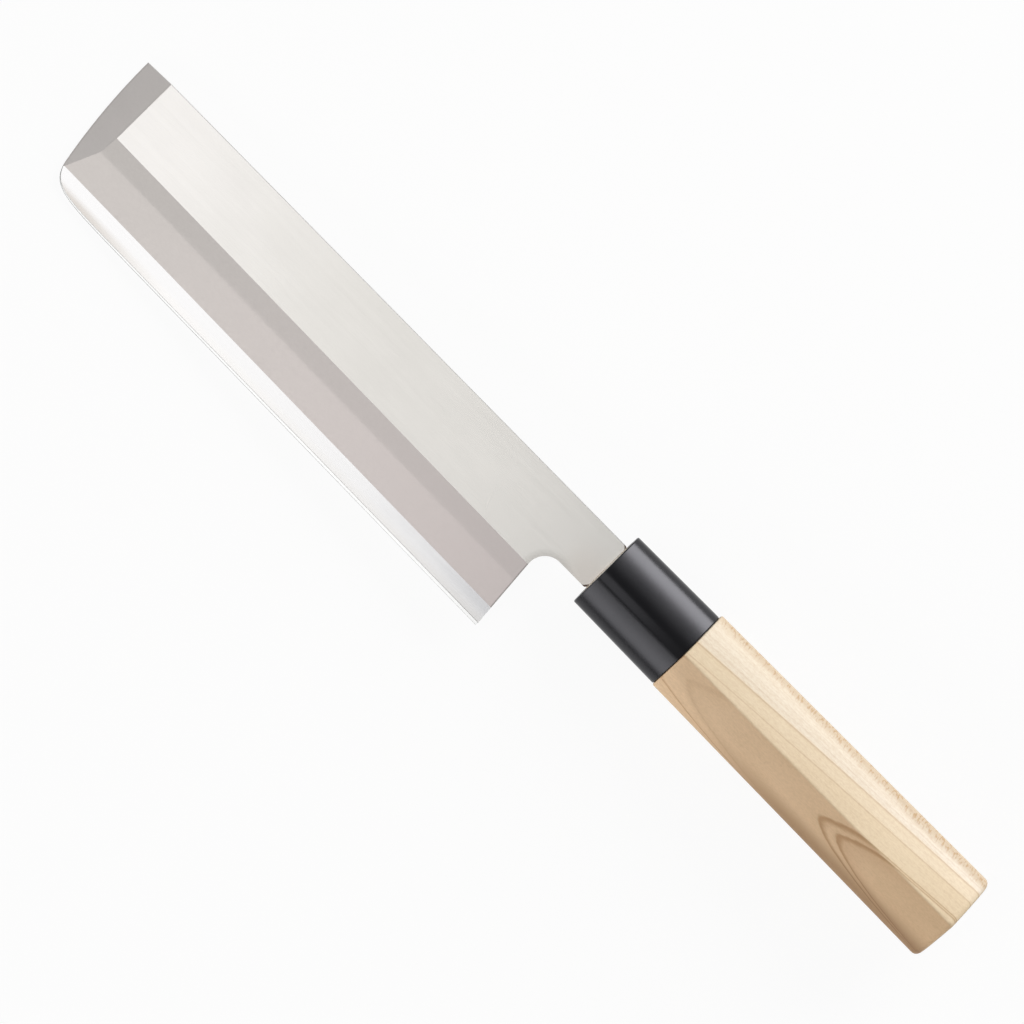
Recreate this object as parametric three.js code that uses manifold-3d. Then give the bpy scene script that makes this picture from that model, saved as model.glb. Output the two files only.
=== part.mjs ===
import * as THREE from 'three';
import { mergeVertices, toCreasedNormals } from 'three/addons/utils/BufferGeometryUtils.js';
import Module from 'manifold-3d';

// Usuba: a tall, thin vegetable knife ground on one face only, its tang glued into a wooden handle.
// Millimetres. The knife lies on its back: X runs from the tip to the butt, Y from the cutting edge
// to the spine, and Z out of the ground face. While it is built, the ferrule's front face is X = 0,
// the handle's axis is Y = 0 and the middle of the blade's thickness is Z = 0.

// Blade outline
const bladeThickness = 2.4;
const bladeLength = 165; // tip to heel corner
const heelHeight = 42.5; // spine to edge at the heel
const tipHeight = 40.9; // spine to the line of the edge, at the tip
const tipRadius = 175; // bow of the square tip
const tipSpineDrop = 0.3; // fall of the spine over the tip facet
const tipCornerRise = 7.7; // height of the round corner between tip and edge
const tipCornerRun = 27.6; // length of that corner along the edge
const tipCornerTipPull = 7.3; // how long the corner holds the tip's direction
const tipCornerEdgePull = 19.8; // how long the corner holds the edge's direction
const heelLean = THREE.MathUtils.degToRad(5);
const heelCornerRadius = 0.5;
const choilRadius = 5.5; // hollow corner between the heel and the neck
const neckHeight = 15.3;
const neckLength = 13; // heel corner to the ferrule

// Tang
const tangLength = 85; // shoulder to end
const tangRootHeight = 10;
const tangEndHeight = 6;
const shoulderRadius = 1.5;

// Ground face: flat bands that run along the edge, and a flat across the tip
const upperBandWidth = 5.5;
const upperBandAngle = THREE.MathUtils.degToRad(1);
const lowerBandWidth = 9.35;
const lowerBandAngle = THREE.MathUtils.degToRad(5);
const edgeBandWidth = 6.05;
const microBevelWidth = 0.6;
const microBevelAngle = THREE.MathUtils.degToRad(25);
const edgeLand = 0.05; // thickness left at the very edge
const tipFacetLength = 8.6;
const tipFacetAngle = THREE.MathUtils.degToRad(11.3);

// Hollow ground into the back, inside a flat rim
const hollowDepth = 0.3;
const hollowRunout = 14; // length over which it fades at each end
const rimAtSpine = 3.5;
const rimAtEdge = 3;
const rimAtTip = 8;
const rimAtHeel = 7;

// Grip sections: an egg-shaped back and two flanks that meet in a ridge on the ground face's side
const ferruleNose = { height: 23.8, ridge: 9.4, back: 8.6 };
const ferruleFlare = { height: 0.6, ridge: 0.3, back: 0.3 }; // growth from nose to rear
const handleStep = 0.6; // wood outside the ferrule's rear, all round
const handleFlare = { height: 1.7, ridge: 0.7, back: 0.7 }; // growth from front to butt
const ridgeDrop = 1.35; // ridge below the handle's axis
const upperFlankAngle = THREE.MathUtils.degToRad(22);
const lowerFlankAngle = THREE.MathUtils.degToRad(30);
const flankFullness = 0.65; // 0 is a straight chord from side to ridge, 1 a square shoulder
const ferruleRidgeRound = 1.8;
const handleRidgeRound = 0.8;

// Ferrule and handle lengths
const ferruleLength = 30.2;
const ferruleWall = 2;
const ferruleDrop = 0.3; // ferrule's middle below the handle's axis
const ferruleEdgeRound = 0.4;
const handleLength = 99.2; // wood behind the ferrule
const handleFrontRound = 0.5;
const handleButtRound = 1.8;
const tenonProud = 0.35; // end of the tenon in front of the ferrule

// Adhesive round the tang, which sets the size of the slot in the wood
const adhesiveAtMouth = 0.9; // on each side of the tang
const adhesiveAtEnd = 0.6;
const slotEndRoom = 2; // beyond the tang's end

// Clearances
const tenonClearance = 0.3; // tenon to ferrule bore
const seatGap = 0.1; // ferrule to the handle's shoulder
const glueGap = 0.2; // adhesive to tang and to slot

const curveSteps = 12;
const roundSteps = 4;
const creaseAngle = THREE.MathUtils.degToRad(20);
const overlap = 1; // cutters and joined solids reach this far past each other

const wasm = await Module();
wasm.setup();

// Places worked out from the sizes above
const heelX = -neckLength;
const tipX = heelX - bladeLength;
const spineY = neckHeight / 2;
const frontZ = bladeThickness / 2;
const backZ = -bladeThickness / 2;
const tenonFaceX = -tenonProud;
const shoulderX = tenonFaceX - glueGap;
const shoulderCorner = Math.min(shoulderRadius, (neckHeight - tangRootHeight) / 2 - glueGap);
const tangEndX = shoulderX + tangLength;
const slotMouthHeight = neckHeight + 2 * glueGap;
const slotMouthWidth = bladeThickness + 2 * (adhesiveAtMouth + 2 * glueGap);
const slotEndHeight = tangEndHeight + 2 * (adhesiveAtEnd + 2 * glueGap);
const slotEndWidth = bladeThickness + 2 * (adhesiveAtEnd + 2 * glueGap);
const slotEndX = tangEndX + slotEndRoom;
const ferruleRear = flared(ferruleNose, ferruleFlare);
const handleFront = flared(ferruleRear, { height: 2 * handleStep, ridge: handleStep, back: handleStep });
const handleFrontX = ferruleLength + seatGap;
const handleButtX = ferruleLength + handleLength;

// Joining and cutting

function toSolid(geometry) {
  geometry.deleteAttribute('normal');
  geometry.deleteAttribute('uv');
  const merged = mergeVertices(geometry);
  const mesh = new wasm.Mesh({
    numProp: 3,
    vertProperties: new Float32Array(merged.attributes.position.array),
    triVerts: new Uint32Array(merged.index.array),
  });
  return new wasm.Manifold(mesh);
}

function toGeometry(solid) {
  const mesh = solid.getMesh();
  const geometry = new THREE.BufferGeometry();
  geometry.setAttribute('position', new THREE.BufferAttribute(mesh.vertProperties, 3));
  geometry.setIndex(new THREE.BufferAttribute(mesh.triVerts, 1));
  return toCreasedNormals(geometry, creaseAngle);
}

// A flat plate of an outline in X and Y, centred on Z = 0
function plate(outline, thickness) {
  const geometry = new THREE.ExtrudeGeometry(outline, {
    depth: thickness,
    bevelEnabled: false,
    curveSegments: curveSteps,
  });
  geometry.translate(0, 0, -thickness / 2);
  return toSolid(geometry);
}

// A closed skin over rings of points that turn from Y to Z, in order along X
function loft(rings) {
  const count = rings[0].length;
  const points = rings.flat();
  const faces = [];
  for (let r = 0; r + 1 < rings.length; r += 1) {
    for (let i = 0; i < count; i += 1) {
      const a = r * count + i;
      const b = r * count + ((i + 1) % count);
      faces.push(a, b, b + count, a, b + count, a + count);
    }
  }
  const capOf = (ring) => {
    const outline = ring.map((p) => new THREE.Vector2(p.y, p.z));
    return THREE.ShapeUtils.triangulateShape(outline, []);
  };
  for (const [a, b, c] of capOf(rings[0])) {
    faces.push(a, c, b);
  }
  const last = (rings.length - 1) * count;
  for (const [a, b, c] of capOf(rings.at(-1))) {
    faces.push(last + a, last + b, last + c);
  }
  const geometry = new THREE.BufferGeometry().setFromPoints(points);
  geometry.setIndex(faces);
  return toSolid(geometry);
}

// Everything on the upper side of the plane through three points, as a block far larger than the knife
function blockAbove(a, b, c) {
  const size = 4 * (bladeLength + heelHeight);
  const normal = new THREE.Vector3().crossVectors(b.clone().sub(a), c.clone().sub(a)).normalize();
  if (normal.z < 0) {
    normal.negate();
  }
  const block = new THREE.BoxGeometry(size, size, size).translate(0, 0, size / 2);
  block.applyQuaternion(new THREE.Quaternion().setFromUnitVectors(new THREE.Vector3(0, 0, 1), normal));
  block.translate(a.x, a.y, a.z);
  return toSolid(block);
}

// Blade

// Height of the straight edge line, which the bands of the ground face follow
function edgeY(x) {
  const edgeHeight = THREE.MathUtils.mapLinear(x, tipX, heelX, tipHeight, heelHeight);
  return spineY - edgeHeight;
}

function tipCornerCurve() {
  const bow = Math.asin((tipHeight - tipCornerRise) / tipRadius);
  const start = new THREE.Vector2(
    tipX + tipRadius * (1 - Math.cos(bow)),
    spineY - tipHeight + tipCornerRise,
  );
  const endX = tipX + tipCornerRun;
  const end = new THREE.Vector2(endX, edgeY(endX));
  const tipWay = new THREE.Vector2(Math.sin(bow), -Math.cos(bow));
  const edgeWay = new THREE.Vector2(heelX - endX, edgeY(heelX) - end.y).normalize();
  return new THREE.CubicBezierCurve(
    start,
    start.clone().addScaledVector(tipWay, tipCornerTipPull),
    end.clone().addScaledVector(edgeWay, -tipCornerEdgePull),
    end,
  );
}

// Lower neck, shoulder, tang and upper neck, all grown outwards by the same amount
function traceTang(outline, grow) {
  const neck = neckHeight / 2 + grow;
  const root = tangRootHeight / 2 + grow;
  const end = tangEndHeight / 2 + grow;
  const shoulder = shoulderX + grow;
  const corner = shoulderCorner + grow;
  const endCentreX = tangEndX - tangEndHeight / 2;
  outline.lineTo(shoulder - corner, -neck);
  outline.absarc(shoulder - corner, corner - neck, corner, -Math.PI / 2, 0, false);
  outline.lineTo(shoulder, -root);
  outline.lineTo(endCentreX, -end);
  outline.absarc(endCentreX, 0, end, -Math.PI / 2, Math.PI / 2, false);
  outline.lineTo(shoulder, root);
  outline.lineTo(shoulder, neck - corner);
  outline.absarc(shoulder - corner, neck - corner, corner, 0, Math.PI / 2, false);
}

function bladeOutline() {
  const corner = tipCornerCurve();
  const heel = new THREE.Vector2(heelX, edgeY(heelX));
  const heelWay = new THREE.Vector2(-Math.sin(heelLean), Math.cos(heelLean));
  const heelStart = heel.clone().addScaledVector(heelWay, heelCornerRadius);
  const choilY = -neckHeight / 2 - choilRadius;
  const choilX = heelX + (choilRadius - (choilY - heel.y) * Math.sin(heelLean)) / Math.cos(heelLean);
  const outline = new THREE.Shape();
  outline.absarc(
    tipX + tipRadius,
    spineY,
    tipRadius,
    Math.PI + Math.asin(tipSpineDrop / tipRadius),
    Math.PI + Math.asin((tipHeight - tipCornerRise) / tipRadius),
    false,
  );
  outline.bezierCurveTo(corner.v1.x, corner.v1.y, corner.v2.x, corner.v2.y, corner.v3.x, corner.v3.y);
  outline.lineTo(heelX - heelCornerRadius, edgeY(heelX - heelCornerRadius));
  outline.quadraticCurveTo(heel.x, heel.y, heelStart.x, heelStart.y);
  outline.absarc(choilX, choilY, choilRadius, Math.PI + heelLean, Math.PI / 2, true);
  traceTang(outline, 0);
  outline.lineTo(tipX + tipFacetLength, spineY);
  outline.closePath();
  return outline;
}

// Z at each line of the ground face, from the start of the upper band down to the edge
const lowerBandZ = frontZ - upperBandWidth * Math.tan(upperBandAngle);
const edgeBandZ = lowerBandZ - lowerBandWidth * Math.tan(lowerBandAngle);
const microBevelDrop = microBevelWidth * Math.tan(microBevelAngle);
const microBevelZ = backZ + edgeLand + microBevelDrop;
const edgeBandSlope = (edgeBandZ - microBevelZ) / (edgeBandWidth - microBevelWidth);

// A flat band between two lines that lie the given distances in from the edge line
function bandCut(upperInset, upperZ, lowerInset, lowerZ) {
  return blockAbove(
    new THREE.Vector3(tipX, edgeY(tipX) + upperInset, upperZ),
    new THREE.Vector3(heelX, edgeY(heelX) + upperInset, upperZ),
    new THREE.Vector3(heelX, edgeY(heelX) + lowerInset, lowerZ),
  );
}

// A narrow bevel along one stretch of the outline, cut into the edge band
function microBevelCut(from, to) {
  const way = to.clone().sub(from).normalize();
  const inward = new THREE.Vector2(-way.y, way.x).multiplyScalar(microBevelWidth);
  const onBand = (point) => {
    const { x, y } = point.clone().add(inward);
    return new THREE.Vector3(x, y, edgeBandZ - edgeBandSlope * (edgeBandWidth - y + edgeY(x)));
  };
  const a = onBand(from);
  const b = onBand(to);
  return blockAbove(a, b, new THREE.Vector3(from.x, from.y, a.z - microBevelDrop));
}

// A shallow trough with an arc for its bottom
function arcTrough(width, depth, length) {
  const radius = (width * width / 4 + depth * depth) / (2 * depth);
  const half = Math.asin(width / 2 / radius);
  const section = new THREE.Shape();
  section.moveTo(-width / 2, -overlap);
  section.lineTo(width / 2, -overlap);
  section.absarc(0, depth - radius, radius, Math.PI / 2 - half, Math.PI / 2 + half, false);
  section.closePath();
  return new THREE.ExtrudeGeometry(section, {
    depth: length,
    bevelEnabled: false,
    curveSegments: curveSteps,
  }).translate(0, 0, -length / 2);
}

function backHollow() {
  const left = tipX + rimAtTip;
  const right = heelX - rimAtHeel;
  const top = spineY - rimAtSpine;
  const bottom = edgeY(tipX) + rimAtEdge;
  const length = right - left;
  const width = top - bottom;
  const runShare = 1 - 2 * hollowRunout / length;
  const across = arcTrough(width, hollowDepth, length + overlap);
  across.rotateX(Math.PI / 2).rotateZ(Math.PI / 2);
  const along = arcTrough(length, hollowDepth / (1 - runShare * runShare), width + overlap);
  along.rotateX(Math.PI / 2);
  const hollow = toSolid(across).intersect(toSolid(along));
  return hollow.translate((left + right) / 2, (top + bottom) / 2, backZ);
}

function makeBlade() {
  const facetX = tipX + tipFacetLength;
  const facetFall = tipFacetLength * Math.tan(tipFacetAngle);
  const upperInset = edgeBandWidth + lowerBandWidth + upperBandWidth;
  const lowerInset = edgeBandWidth + lowerBandWidth;
  const cuts = [
    bandCut(upperInset, frontZ, lowerInset, lowerBandZ),
    bandCut(lowerInset, lowerBandZ, edgeBandWidth, edgeBandZ),
    bandCut(edgeBandWidth, edgeBandZ, microBevelWidth, microBevelZ),
    blockAbove(
      new THREE.Vector3(facetX, 0, frontZ),
      new THREE.Vector3(facetX, spineY, frontZ),
      new THREE.Vector3(tipX, 0, frontZ - facetFall),
    ),
    backHollow(),
  ];
  const edgeLine = tipCornerCurve().getPoints(curveSteps);
  edgeLine.push(new THREE.Vector2(heelX, edgeY(heelX)));
  for (let i = 0; i + 1 < edgeLine.length; i += 1) {
    cuts.push(microBevelCut(edgeLine[i], edgeLine[i + 1]));
  }
  return cuts.reduce((blade, cut) => blade.subtract(cut), plate(bladeOutline(), bladeThickness));
}

// Grip

// The ridged section as points in Y and Z, drawn in by an inset and lowered by a drop
function gripRing(x, section, ridgeRound, inset = 0, drop = 0) {
  const side = section.height / 2 - inset;
  const ridge = section.ridge - inset;
  const back = section.back - inset;
  const flank = (end, angle) => {
    const way = Math.sign(end);
    return {
      shoulder: new THREE.Vector2(end, ridge - Math.abs(end + ridgeDrop) * Math.tan(angle)),
      crest: new THREE.Vector2(
        way * ridgeRound * Math.cos(angle) - ridgeDrop,
        ridge - ridgeRound * Math.sin(angle),
      ),
    };
  };
  const upper = flank(side, upperFlankAngle);
  const lower = flank(-side, lowerFlankAngle);
  const upperHold = upper.crest.clone().lerp(upper.shoulder, flankFullness);
  const lowerHold = lower.crest.clone().lerp(lower.shoulder, flankFullness);
  const outline = new THREE.Shape();
  outline.moveTo(side, 0);
  outline.bezierCurveTo(
    side,
    upper.shoulder.y * flankFullness,
    upperHold.x,
    upperHold.y,
    upper.crest.x,
    upper.crest.y,
  );
  outline.quadraticCurveTo(-ridgeDrop, ridge, lower.crest.x, lower.crest.y);
  outline.bezierCurveTo(
    lowerHold.x,
    lowerHold.y,
    -side,
    lower.shoulder.y * flankFullness,
    -side,
    0,
  );
  outline.absellipse(0, 0, side, back, Math.PI, 2 * Math.PI, false, 0);
  const points = outline.getPoints(curveSteps);
  points.pop();
  return points.map((p) => new THREE.Vector3(x, p.x - drop, p.y));
}

// A section grown by a flare, or by a share of it
function flared(section, flare, share = 1) {
  return {
    height: section.height + flare.height * share,
    ridge: section.ridge + flare.ridge * share,
    back: section.back + flare.back * share,
  };
}

// A tapered length of grip with rounded ends
function gripBody({ section, flare, startX, endX, startRound, endRound, ridgeRound, drop }) {
  const rings = [];
  const addRing = (x, inset) => {
    const share = (x - startX) / (endX - startX);
    rings.push(gripRing(x, flared(section, flare, share), ridgeRound, inset, drop));
  };
  for (let i = 0; i <= roundSteps; i += 1) {
    const turn = (i / roundSteps) * (Math.PI / 2);
    addRing(startX + startRound * (1 - Math.cos(turn)), startRound * (1 - Math.sin(turn)));
  }
  for (let i = roundSteps; i >= 0; i -= 1) {
    const turn = (i / roundSteps) * (Math.PI / 2);
    addRing(endX - endRound * (1 - Math.cos(turn)), endRound * (1 - Math.sin(turn)));
  }
  return loft(rings);
}

// A straight length that lies a given distance inside the ferrule's nose
function noseCore(inset, startX, endX) {
  const rings = [startX, endX].map((x) => gripRing(x, ferruleNose, ferruleRidgeRound, inset, ferruleDrop));
  return loft(rings);
}

function makeFerrule() {
  const body = gripBody({
    section: ferruleNose,
    flare: ferruleFlare,
    startX: 0,
    endX: ferruleLength,
    startRound: ferruleEdgeRound,
    endRound: ferruleEdgeRound,
    ridgeRound: ferruleRidgeRound,
    drop: ferruleDrop,
  });
  return body.subtract(noseCore(ferruleWall, -overlap, ferruleLength + overlap));
}

// The tapered slot, or what fills it, drawn in by an inset
function slotBody(startX, endX, inset) {
  const ring = (x) => {
    const share = (x - tenonFaceX) / (slotEndX - tenonFaceX);
    const height = THREE.MathUtils.lerp(slotMouthHeight, slotEndHeight, share) - 2 * inset;
    const radius = THREE.MathUtils.lerp(slotMouthWidth, slotEndWidth, share) / 2 - inset;
    const outline = new THREE.Shape();
    outline.absarc(height / 2 - radius, 0, radius, -Math.PI / 2, Math.PI / 2, false);
    outline.absarc(radius - height / 2, 0, radius, Math.PI / 2, 1.5 * Math.PI, false);
    return outline.getPoints(curveSteps).map((p) => new THREE.Vector3(x, p.x, p.y));
  };
  return loft([ring(startX), ring(endX)]);
}

function makeHandle() {
  const body = gripBody({
    section: handleFront,
    flare: handleFlare,
    startX: handleFrontX,
    endX: handleButtX,
    startRound: handleFrontRound,
    endRound: handleButtRound,
    ridgeRound: handleRidgeRound,
    drop: 0,
  });
  const tenon = noseCore(ferruleWall + tenonClearance, tenonFaceX, handleFrontX + overlap);
  return body.add(tenon).subtract(slotBody(tenonFaceX - overlap, slotEndX, 0));
}

// The filling of the slot, with a bead as thick as the blade that fills the shoulder's two corners
function makeAdhesive() {
  const beadStartX = shoulderX - shoulderCorner;
  const beadEndX = tenonFaceX + overlap;
  const beadRoom = new THREE.BoxGeometry(beadEndX - beadStartX, neckHeight, bladeThickness);
  beadRoom.translate((beadStartX + beadEndX) / 2, 0, 0);
  const bead = slotBody(beadStartX, beadEndX, glueGap).intersect(toSolid(beadRoom));
  const tangRoom = new THREE.Shape();
  tangRoom.moveTo(beadStartX - overlap, neckHeight / 2 + glueGap);
  tangRoom.lineTo(beadStartX - overlap, -neckHeight / 2 - glueGap);
  traceTang(tangRoom, glueGap);
  tangRoom.closePath();
  const filling = slotBody(tenonFaceX, slotEndX - glueGap, glueGap);
  return filling.add(bead).subtract(plate(tangRoom, bladeThickness + 2 * glueGap));
}

// Assembly

function addPiece(name, solid, finish) {
  const mesh = new THREE.Mesh(toGeometry(solid), new THREE.MeshStandardMaterial(finish));
  mesh.name = name;
  knife.add(mesh);
}

const knife = new THREE.Group();
addPiece('blade', makeBlade(), { color: 0xd9d6d0, roughness: 0.3, metalness: 1, flatShading: true });
addPiece('ferrule', makeFerrule(), { color: 0x17181a, roughness: 0.25, metalness: 0 });
addPiece('handle', makeHandle(), { color: 0xe6cfa6, roughness: 0.6, metalness: 0 });
addPiece('tang_adhesive', makeAdhesive(), { color: 0x5e4435, roughness: 0.5, metalness: 0 });

// The origin is the middle of the box's underside
const box = new THREE.Box3().setFromObject(knife);
const middle = box.getCenter(new THREE.Vector3());
knife.position.set(-middle.x, -middle.y, -box.min.z);

export default knife;
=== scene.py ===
import math

import bmesh
import bpy
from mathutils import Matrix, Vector
from mathutils.geometry import interpolate_bezier


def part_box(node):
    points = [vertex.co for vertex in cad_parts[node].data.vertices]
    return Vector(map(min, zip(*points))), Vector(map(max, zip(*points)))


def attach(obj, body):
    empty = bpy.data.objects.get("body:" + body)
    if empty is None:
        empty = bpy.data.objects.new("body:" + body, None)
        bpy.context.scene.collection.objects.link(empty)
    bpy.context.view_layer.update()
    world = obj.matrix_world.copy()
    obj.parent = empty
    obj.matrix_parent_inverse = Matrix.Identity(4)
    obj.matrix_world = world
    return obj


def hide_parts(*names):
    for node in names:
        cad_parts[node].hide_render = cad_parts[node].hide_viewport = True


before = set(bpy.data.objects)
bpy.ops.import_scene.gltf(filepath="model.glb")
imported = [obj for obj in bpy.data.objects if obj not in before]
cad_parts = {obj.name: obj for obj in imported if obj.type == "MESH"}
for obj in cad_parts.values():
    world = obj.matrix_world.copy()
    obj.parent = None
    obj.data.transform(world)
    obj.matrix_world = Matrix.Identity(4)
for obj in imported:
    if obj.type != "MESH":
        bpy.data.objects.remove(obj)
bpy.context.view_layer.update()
print("frame loaded:", ", ".join(sorted(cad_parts)))

mm = 0.001  # pieces are drawn in millimetres, and brought to metres when finished


def boxOf(node):
    low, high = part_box(node)
    return low / mm, high / mm


bladeLow, bladeHigh = boxOf("blade")
ferruleLow, ferruleHigh = boxOf("ferrule")
handleLow, handleHigh = boxOf("handle")
glueHigh = boxOf("tang_adhesive")[1]
noseSetback = 0.34  # ferrule's front behind the CAD's, so that the tenon's end stays inside
noseX = ferruleLow.x + noseSetback
axisY = (handleLow.y + handleHigh.y) / 2  # handle's middle
midZ = (bladeLow.z + bladeHigh.z) / 2  # middle of the blade's thickness


# Drawing outlines with a pen: a vertex that is pulled along lines, arcs and curves

curveSteps = 24
smallCurveSteps = 8
mergeDistance = 0.0005
cutTolerance = 1e-5
roundAngle = math.radians(30)  # edges that turn more are sharp
uprightTilt = 0.1  # a face is upright where its normal has less z than this
levelTilt = 0.97  # and level where it has more than this


def lineTo(bm, pen, place):
    pulled = bmesh.ops.extrude_vert_indiv(bm, verts=[pen])["verts"][0]
    pulled.co = place
    return pulled


def curveTo(bm, pen, pull, hold, place, steps=curveSteps):
    for point in interpolate_bezier(pen.co, pull, hold, place, steps + 1)[1:]:
        pen = lineTo(bm, pen, point)
    return pen


def arcBy(bm, pen, centre, angle, steps, axis=(0, 0, 1)):
    turned = bmesh.ops.spin(
        bm, geom=[pen], cent=centre, axis=axis, angle=angle, steps=steps, use_duplicate=False
    )
    return next(part for part in turned["geom_last"] if isinstance(part, bmesh.types.BMVert))


def closedLoop(bm, start, draw):  # draw moves the pen on from the start, and gives back where it ends
    old = set(bm.edges)
    first = bm.verts.new(start)
    bm.edges.new((draw(first), first))
    return [edge for edge in bm.edges if edge not in old]


def capLoop(bm, loop, finish=0):
    for face in bmesh.ops.contextual_create(bm, geom=loop)["faces"]:
        face.material_index = finish


def bridgeLoops(bm, loops):  # joins each loop to the next
    for one, other in zip(loops, loops[1:]):
        bmesh.ops.bridge_loops(bm, edges=one + other)


def pullLoop(bm, loop, way, finish=0):  # a solid from a loop to its copy, in the same order each run
    copied = bmesh.ops.duplicate(bm, geom=loop)["geom"]
    far = [part for part in copied if isinstance(part, bmesh.types.BMEdge)]
    bmesh.ops.translate(bm, vec=way, verts=[part for part in copied if part not in far])
    bridgeLoops(bm, [loop, far])
    for end in (loop, far):
        capLoop(bm, end, finish)


def closeSeams(bm):
    bmesh.ops.remove_doubles(bm, verts=bm.verts, dist=mergeDistance)
    bmesh.ops.recalc_face_normals(bm, faces=bm.faces)


# Shader maths

mixColours = (6, 7)  # a Mix node's two colour sockets
mixResult = 2  # and its colour output


class Wire:  # a shader socket that can stand in a sum
    def __init__(self, tree, socket=None):
        self.tree = tree
        self.socket = socket

    def node(self, kind, settings, sockets, output=0):
        made = self.tree.nodes.new(kind)
        for name, value in settings.items():
            setattr(made, name, value)
        for name, value in sockets.items():
            if isinstance(value, Wire):
                self.tree.links.new(value.socket, made.inputs[name])
            else:
                made.inputs[name].default_value = value
        return Wire(self.tree, made.outputs[output] if made.outputs else None)

    def fellow(self, output):  # another output of the same node
        return Wire(self.tree, self.socket.node.outputs[output])

    def maths(self, operation, *values):
        return self.node("ShaderNodeMath", {"operation": operation}, dict(enumerate(values)))

    def __add__(self, other):
        return self.maths("ADD", self, other)

    def __radd__(self, other):
        return self.maths("ADD", other, self)

    def __sub__(self, other):
        return self.maths("SUBTRACT", self, other)

    def __rsub__(self, other):
        return self.maths("SUBTRACT", other, self)

    def __mul__(self, other):
        return self.maths("MULTIPLY", self, other)

    def __rmul__(self, other):
        return self.maths("MULTIPLY", other, self)

    def __truediv__(self, other):
        return self.maths("DIVIDE", self, other)

    def __rtruediv__(self, other):
        return self.maths("DIVIDE", other, self)

    def __pow__(self, other):
        return self.maths("POWER", self, other)

    def __rpow__(self, other):
        return self.maths("POWER", other, self)


def tone(hexText):  # a screen colour, brought to linear light by the sRGB curve
    parts = [int(hexText[i:i + 2], 16) / 255 for i in (1, 3, 5)]
    return tuple(p / 12.92 if p <= 0.04045 else ((p + 0.055) / 1.055) ** 2.4 for p in parts) + (1.0,)


def newMaterial(name):
    made = bpy.data.materials.new(name)
    made.use_nodes = True
    made.node_tree.nodes.clear()
    wire = Wire(made.node_tree)
    place = wire.node("ShaderNodeTexCoord", {}, {}, "Object")
    return made, wire, place


def seat(place, location=(0, 0, 0), rotation=(0, 0, 0), cell=(1, 1, 1)):  # sizes in millimetres
    return place.node("ShaderNodeMapping", {"vector_type": "TEXTURE"}, {
        "Vector": place,
        "Location": [value * mm for value in location],
        "Rotation": rotation,
        "Scale": [value * mm for value in cell],
    })


def axes(place):
    split = place.node("ShaderNodeSeparateXYZ", {}, {"Vector": place})
    return [split.fellow(name) for name in "XYZ"]


def grain(place, cell, detail=2.0, roughness=0.5):  # runs about from -0.5 to 0.5
    return place.node("ShaderNodeTexNoise", {}, {
        "Vector": seat(place, cell=cell), "Scale": 1.0, "Detail": detail, "Roughness": roughness,
    }) - 0.5


def grains(place, settings):
    return {name: grain(place, *setting) for name, setting in settings.items()}


def sway(value, marks, shares):  # a value that marks push up and down, each by its share
    for mark, share in shares.items():
        value = value + marks[mark] * share
    return value


def rise(value, low, high):  # 0 below low, 1 above high, smooth between
    return value.node("ShaderNodeMapRange", {"interpolation_type": "SMOOTHSTEP"}, {
        "Value": value, "From Min": low, "From Max": high,
    })


def blend(mask, low, high, way="MIX"):
    settings = {"data_type": "RGBA", "blend_type": way}
    lowSocket, highSocket = mixColours
    return mask.node("ShaderNodeMix", settings, {0: mask, lowSocket: low, highSocket: high}, mixResult)


def bump(height, strength, depth):  # depth in millimetres
    return height.node("ShaderNodeBump", {}, {
        "Height": height, "Strength": strength, "Distance": depth * mm,
    })


def shade(wire, sockets):
    surface = wire.node("ShaderNodeBsdfPrincipled", {}, sockets)
    wire.node("ShaderNodeOutputMaterial", {}, {"Surface": surface})


# Finishing a piece

def plainSharp(edge):
    return roundAngle


def finishPiece(bm, name, node, materials, sharpAngle=plainSharp):
    closeSeams(bm)
    for face in bm.faces:
        face.smooth = True
    for edge in bm.edges:
        edge.smooth = edge.calc_face_angle(math.pi) < sharpAngle(edge)
    bmesh.ops.scale(bm, vec=(mm, mm, mm), verts=bm.verts)
    mesh = bpy.data.meshes.new(name)
    bm.to_mesh(mesh)
    bm.free()
    for material in materials:
        mesh.materials.append(material)
    piece = bpy.data.objects.new(name, mesh)
    bpy.context.scene.collection.objects.link(piece)
    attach(piece, "root")
    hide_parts(node)
    print(name, "made:", len(mesh.polygons), "faces")
    return piece


# Blade

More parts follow.
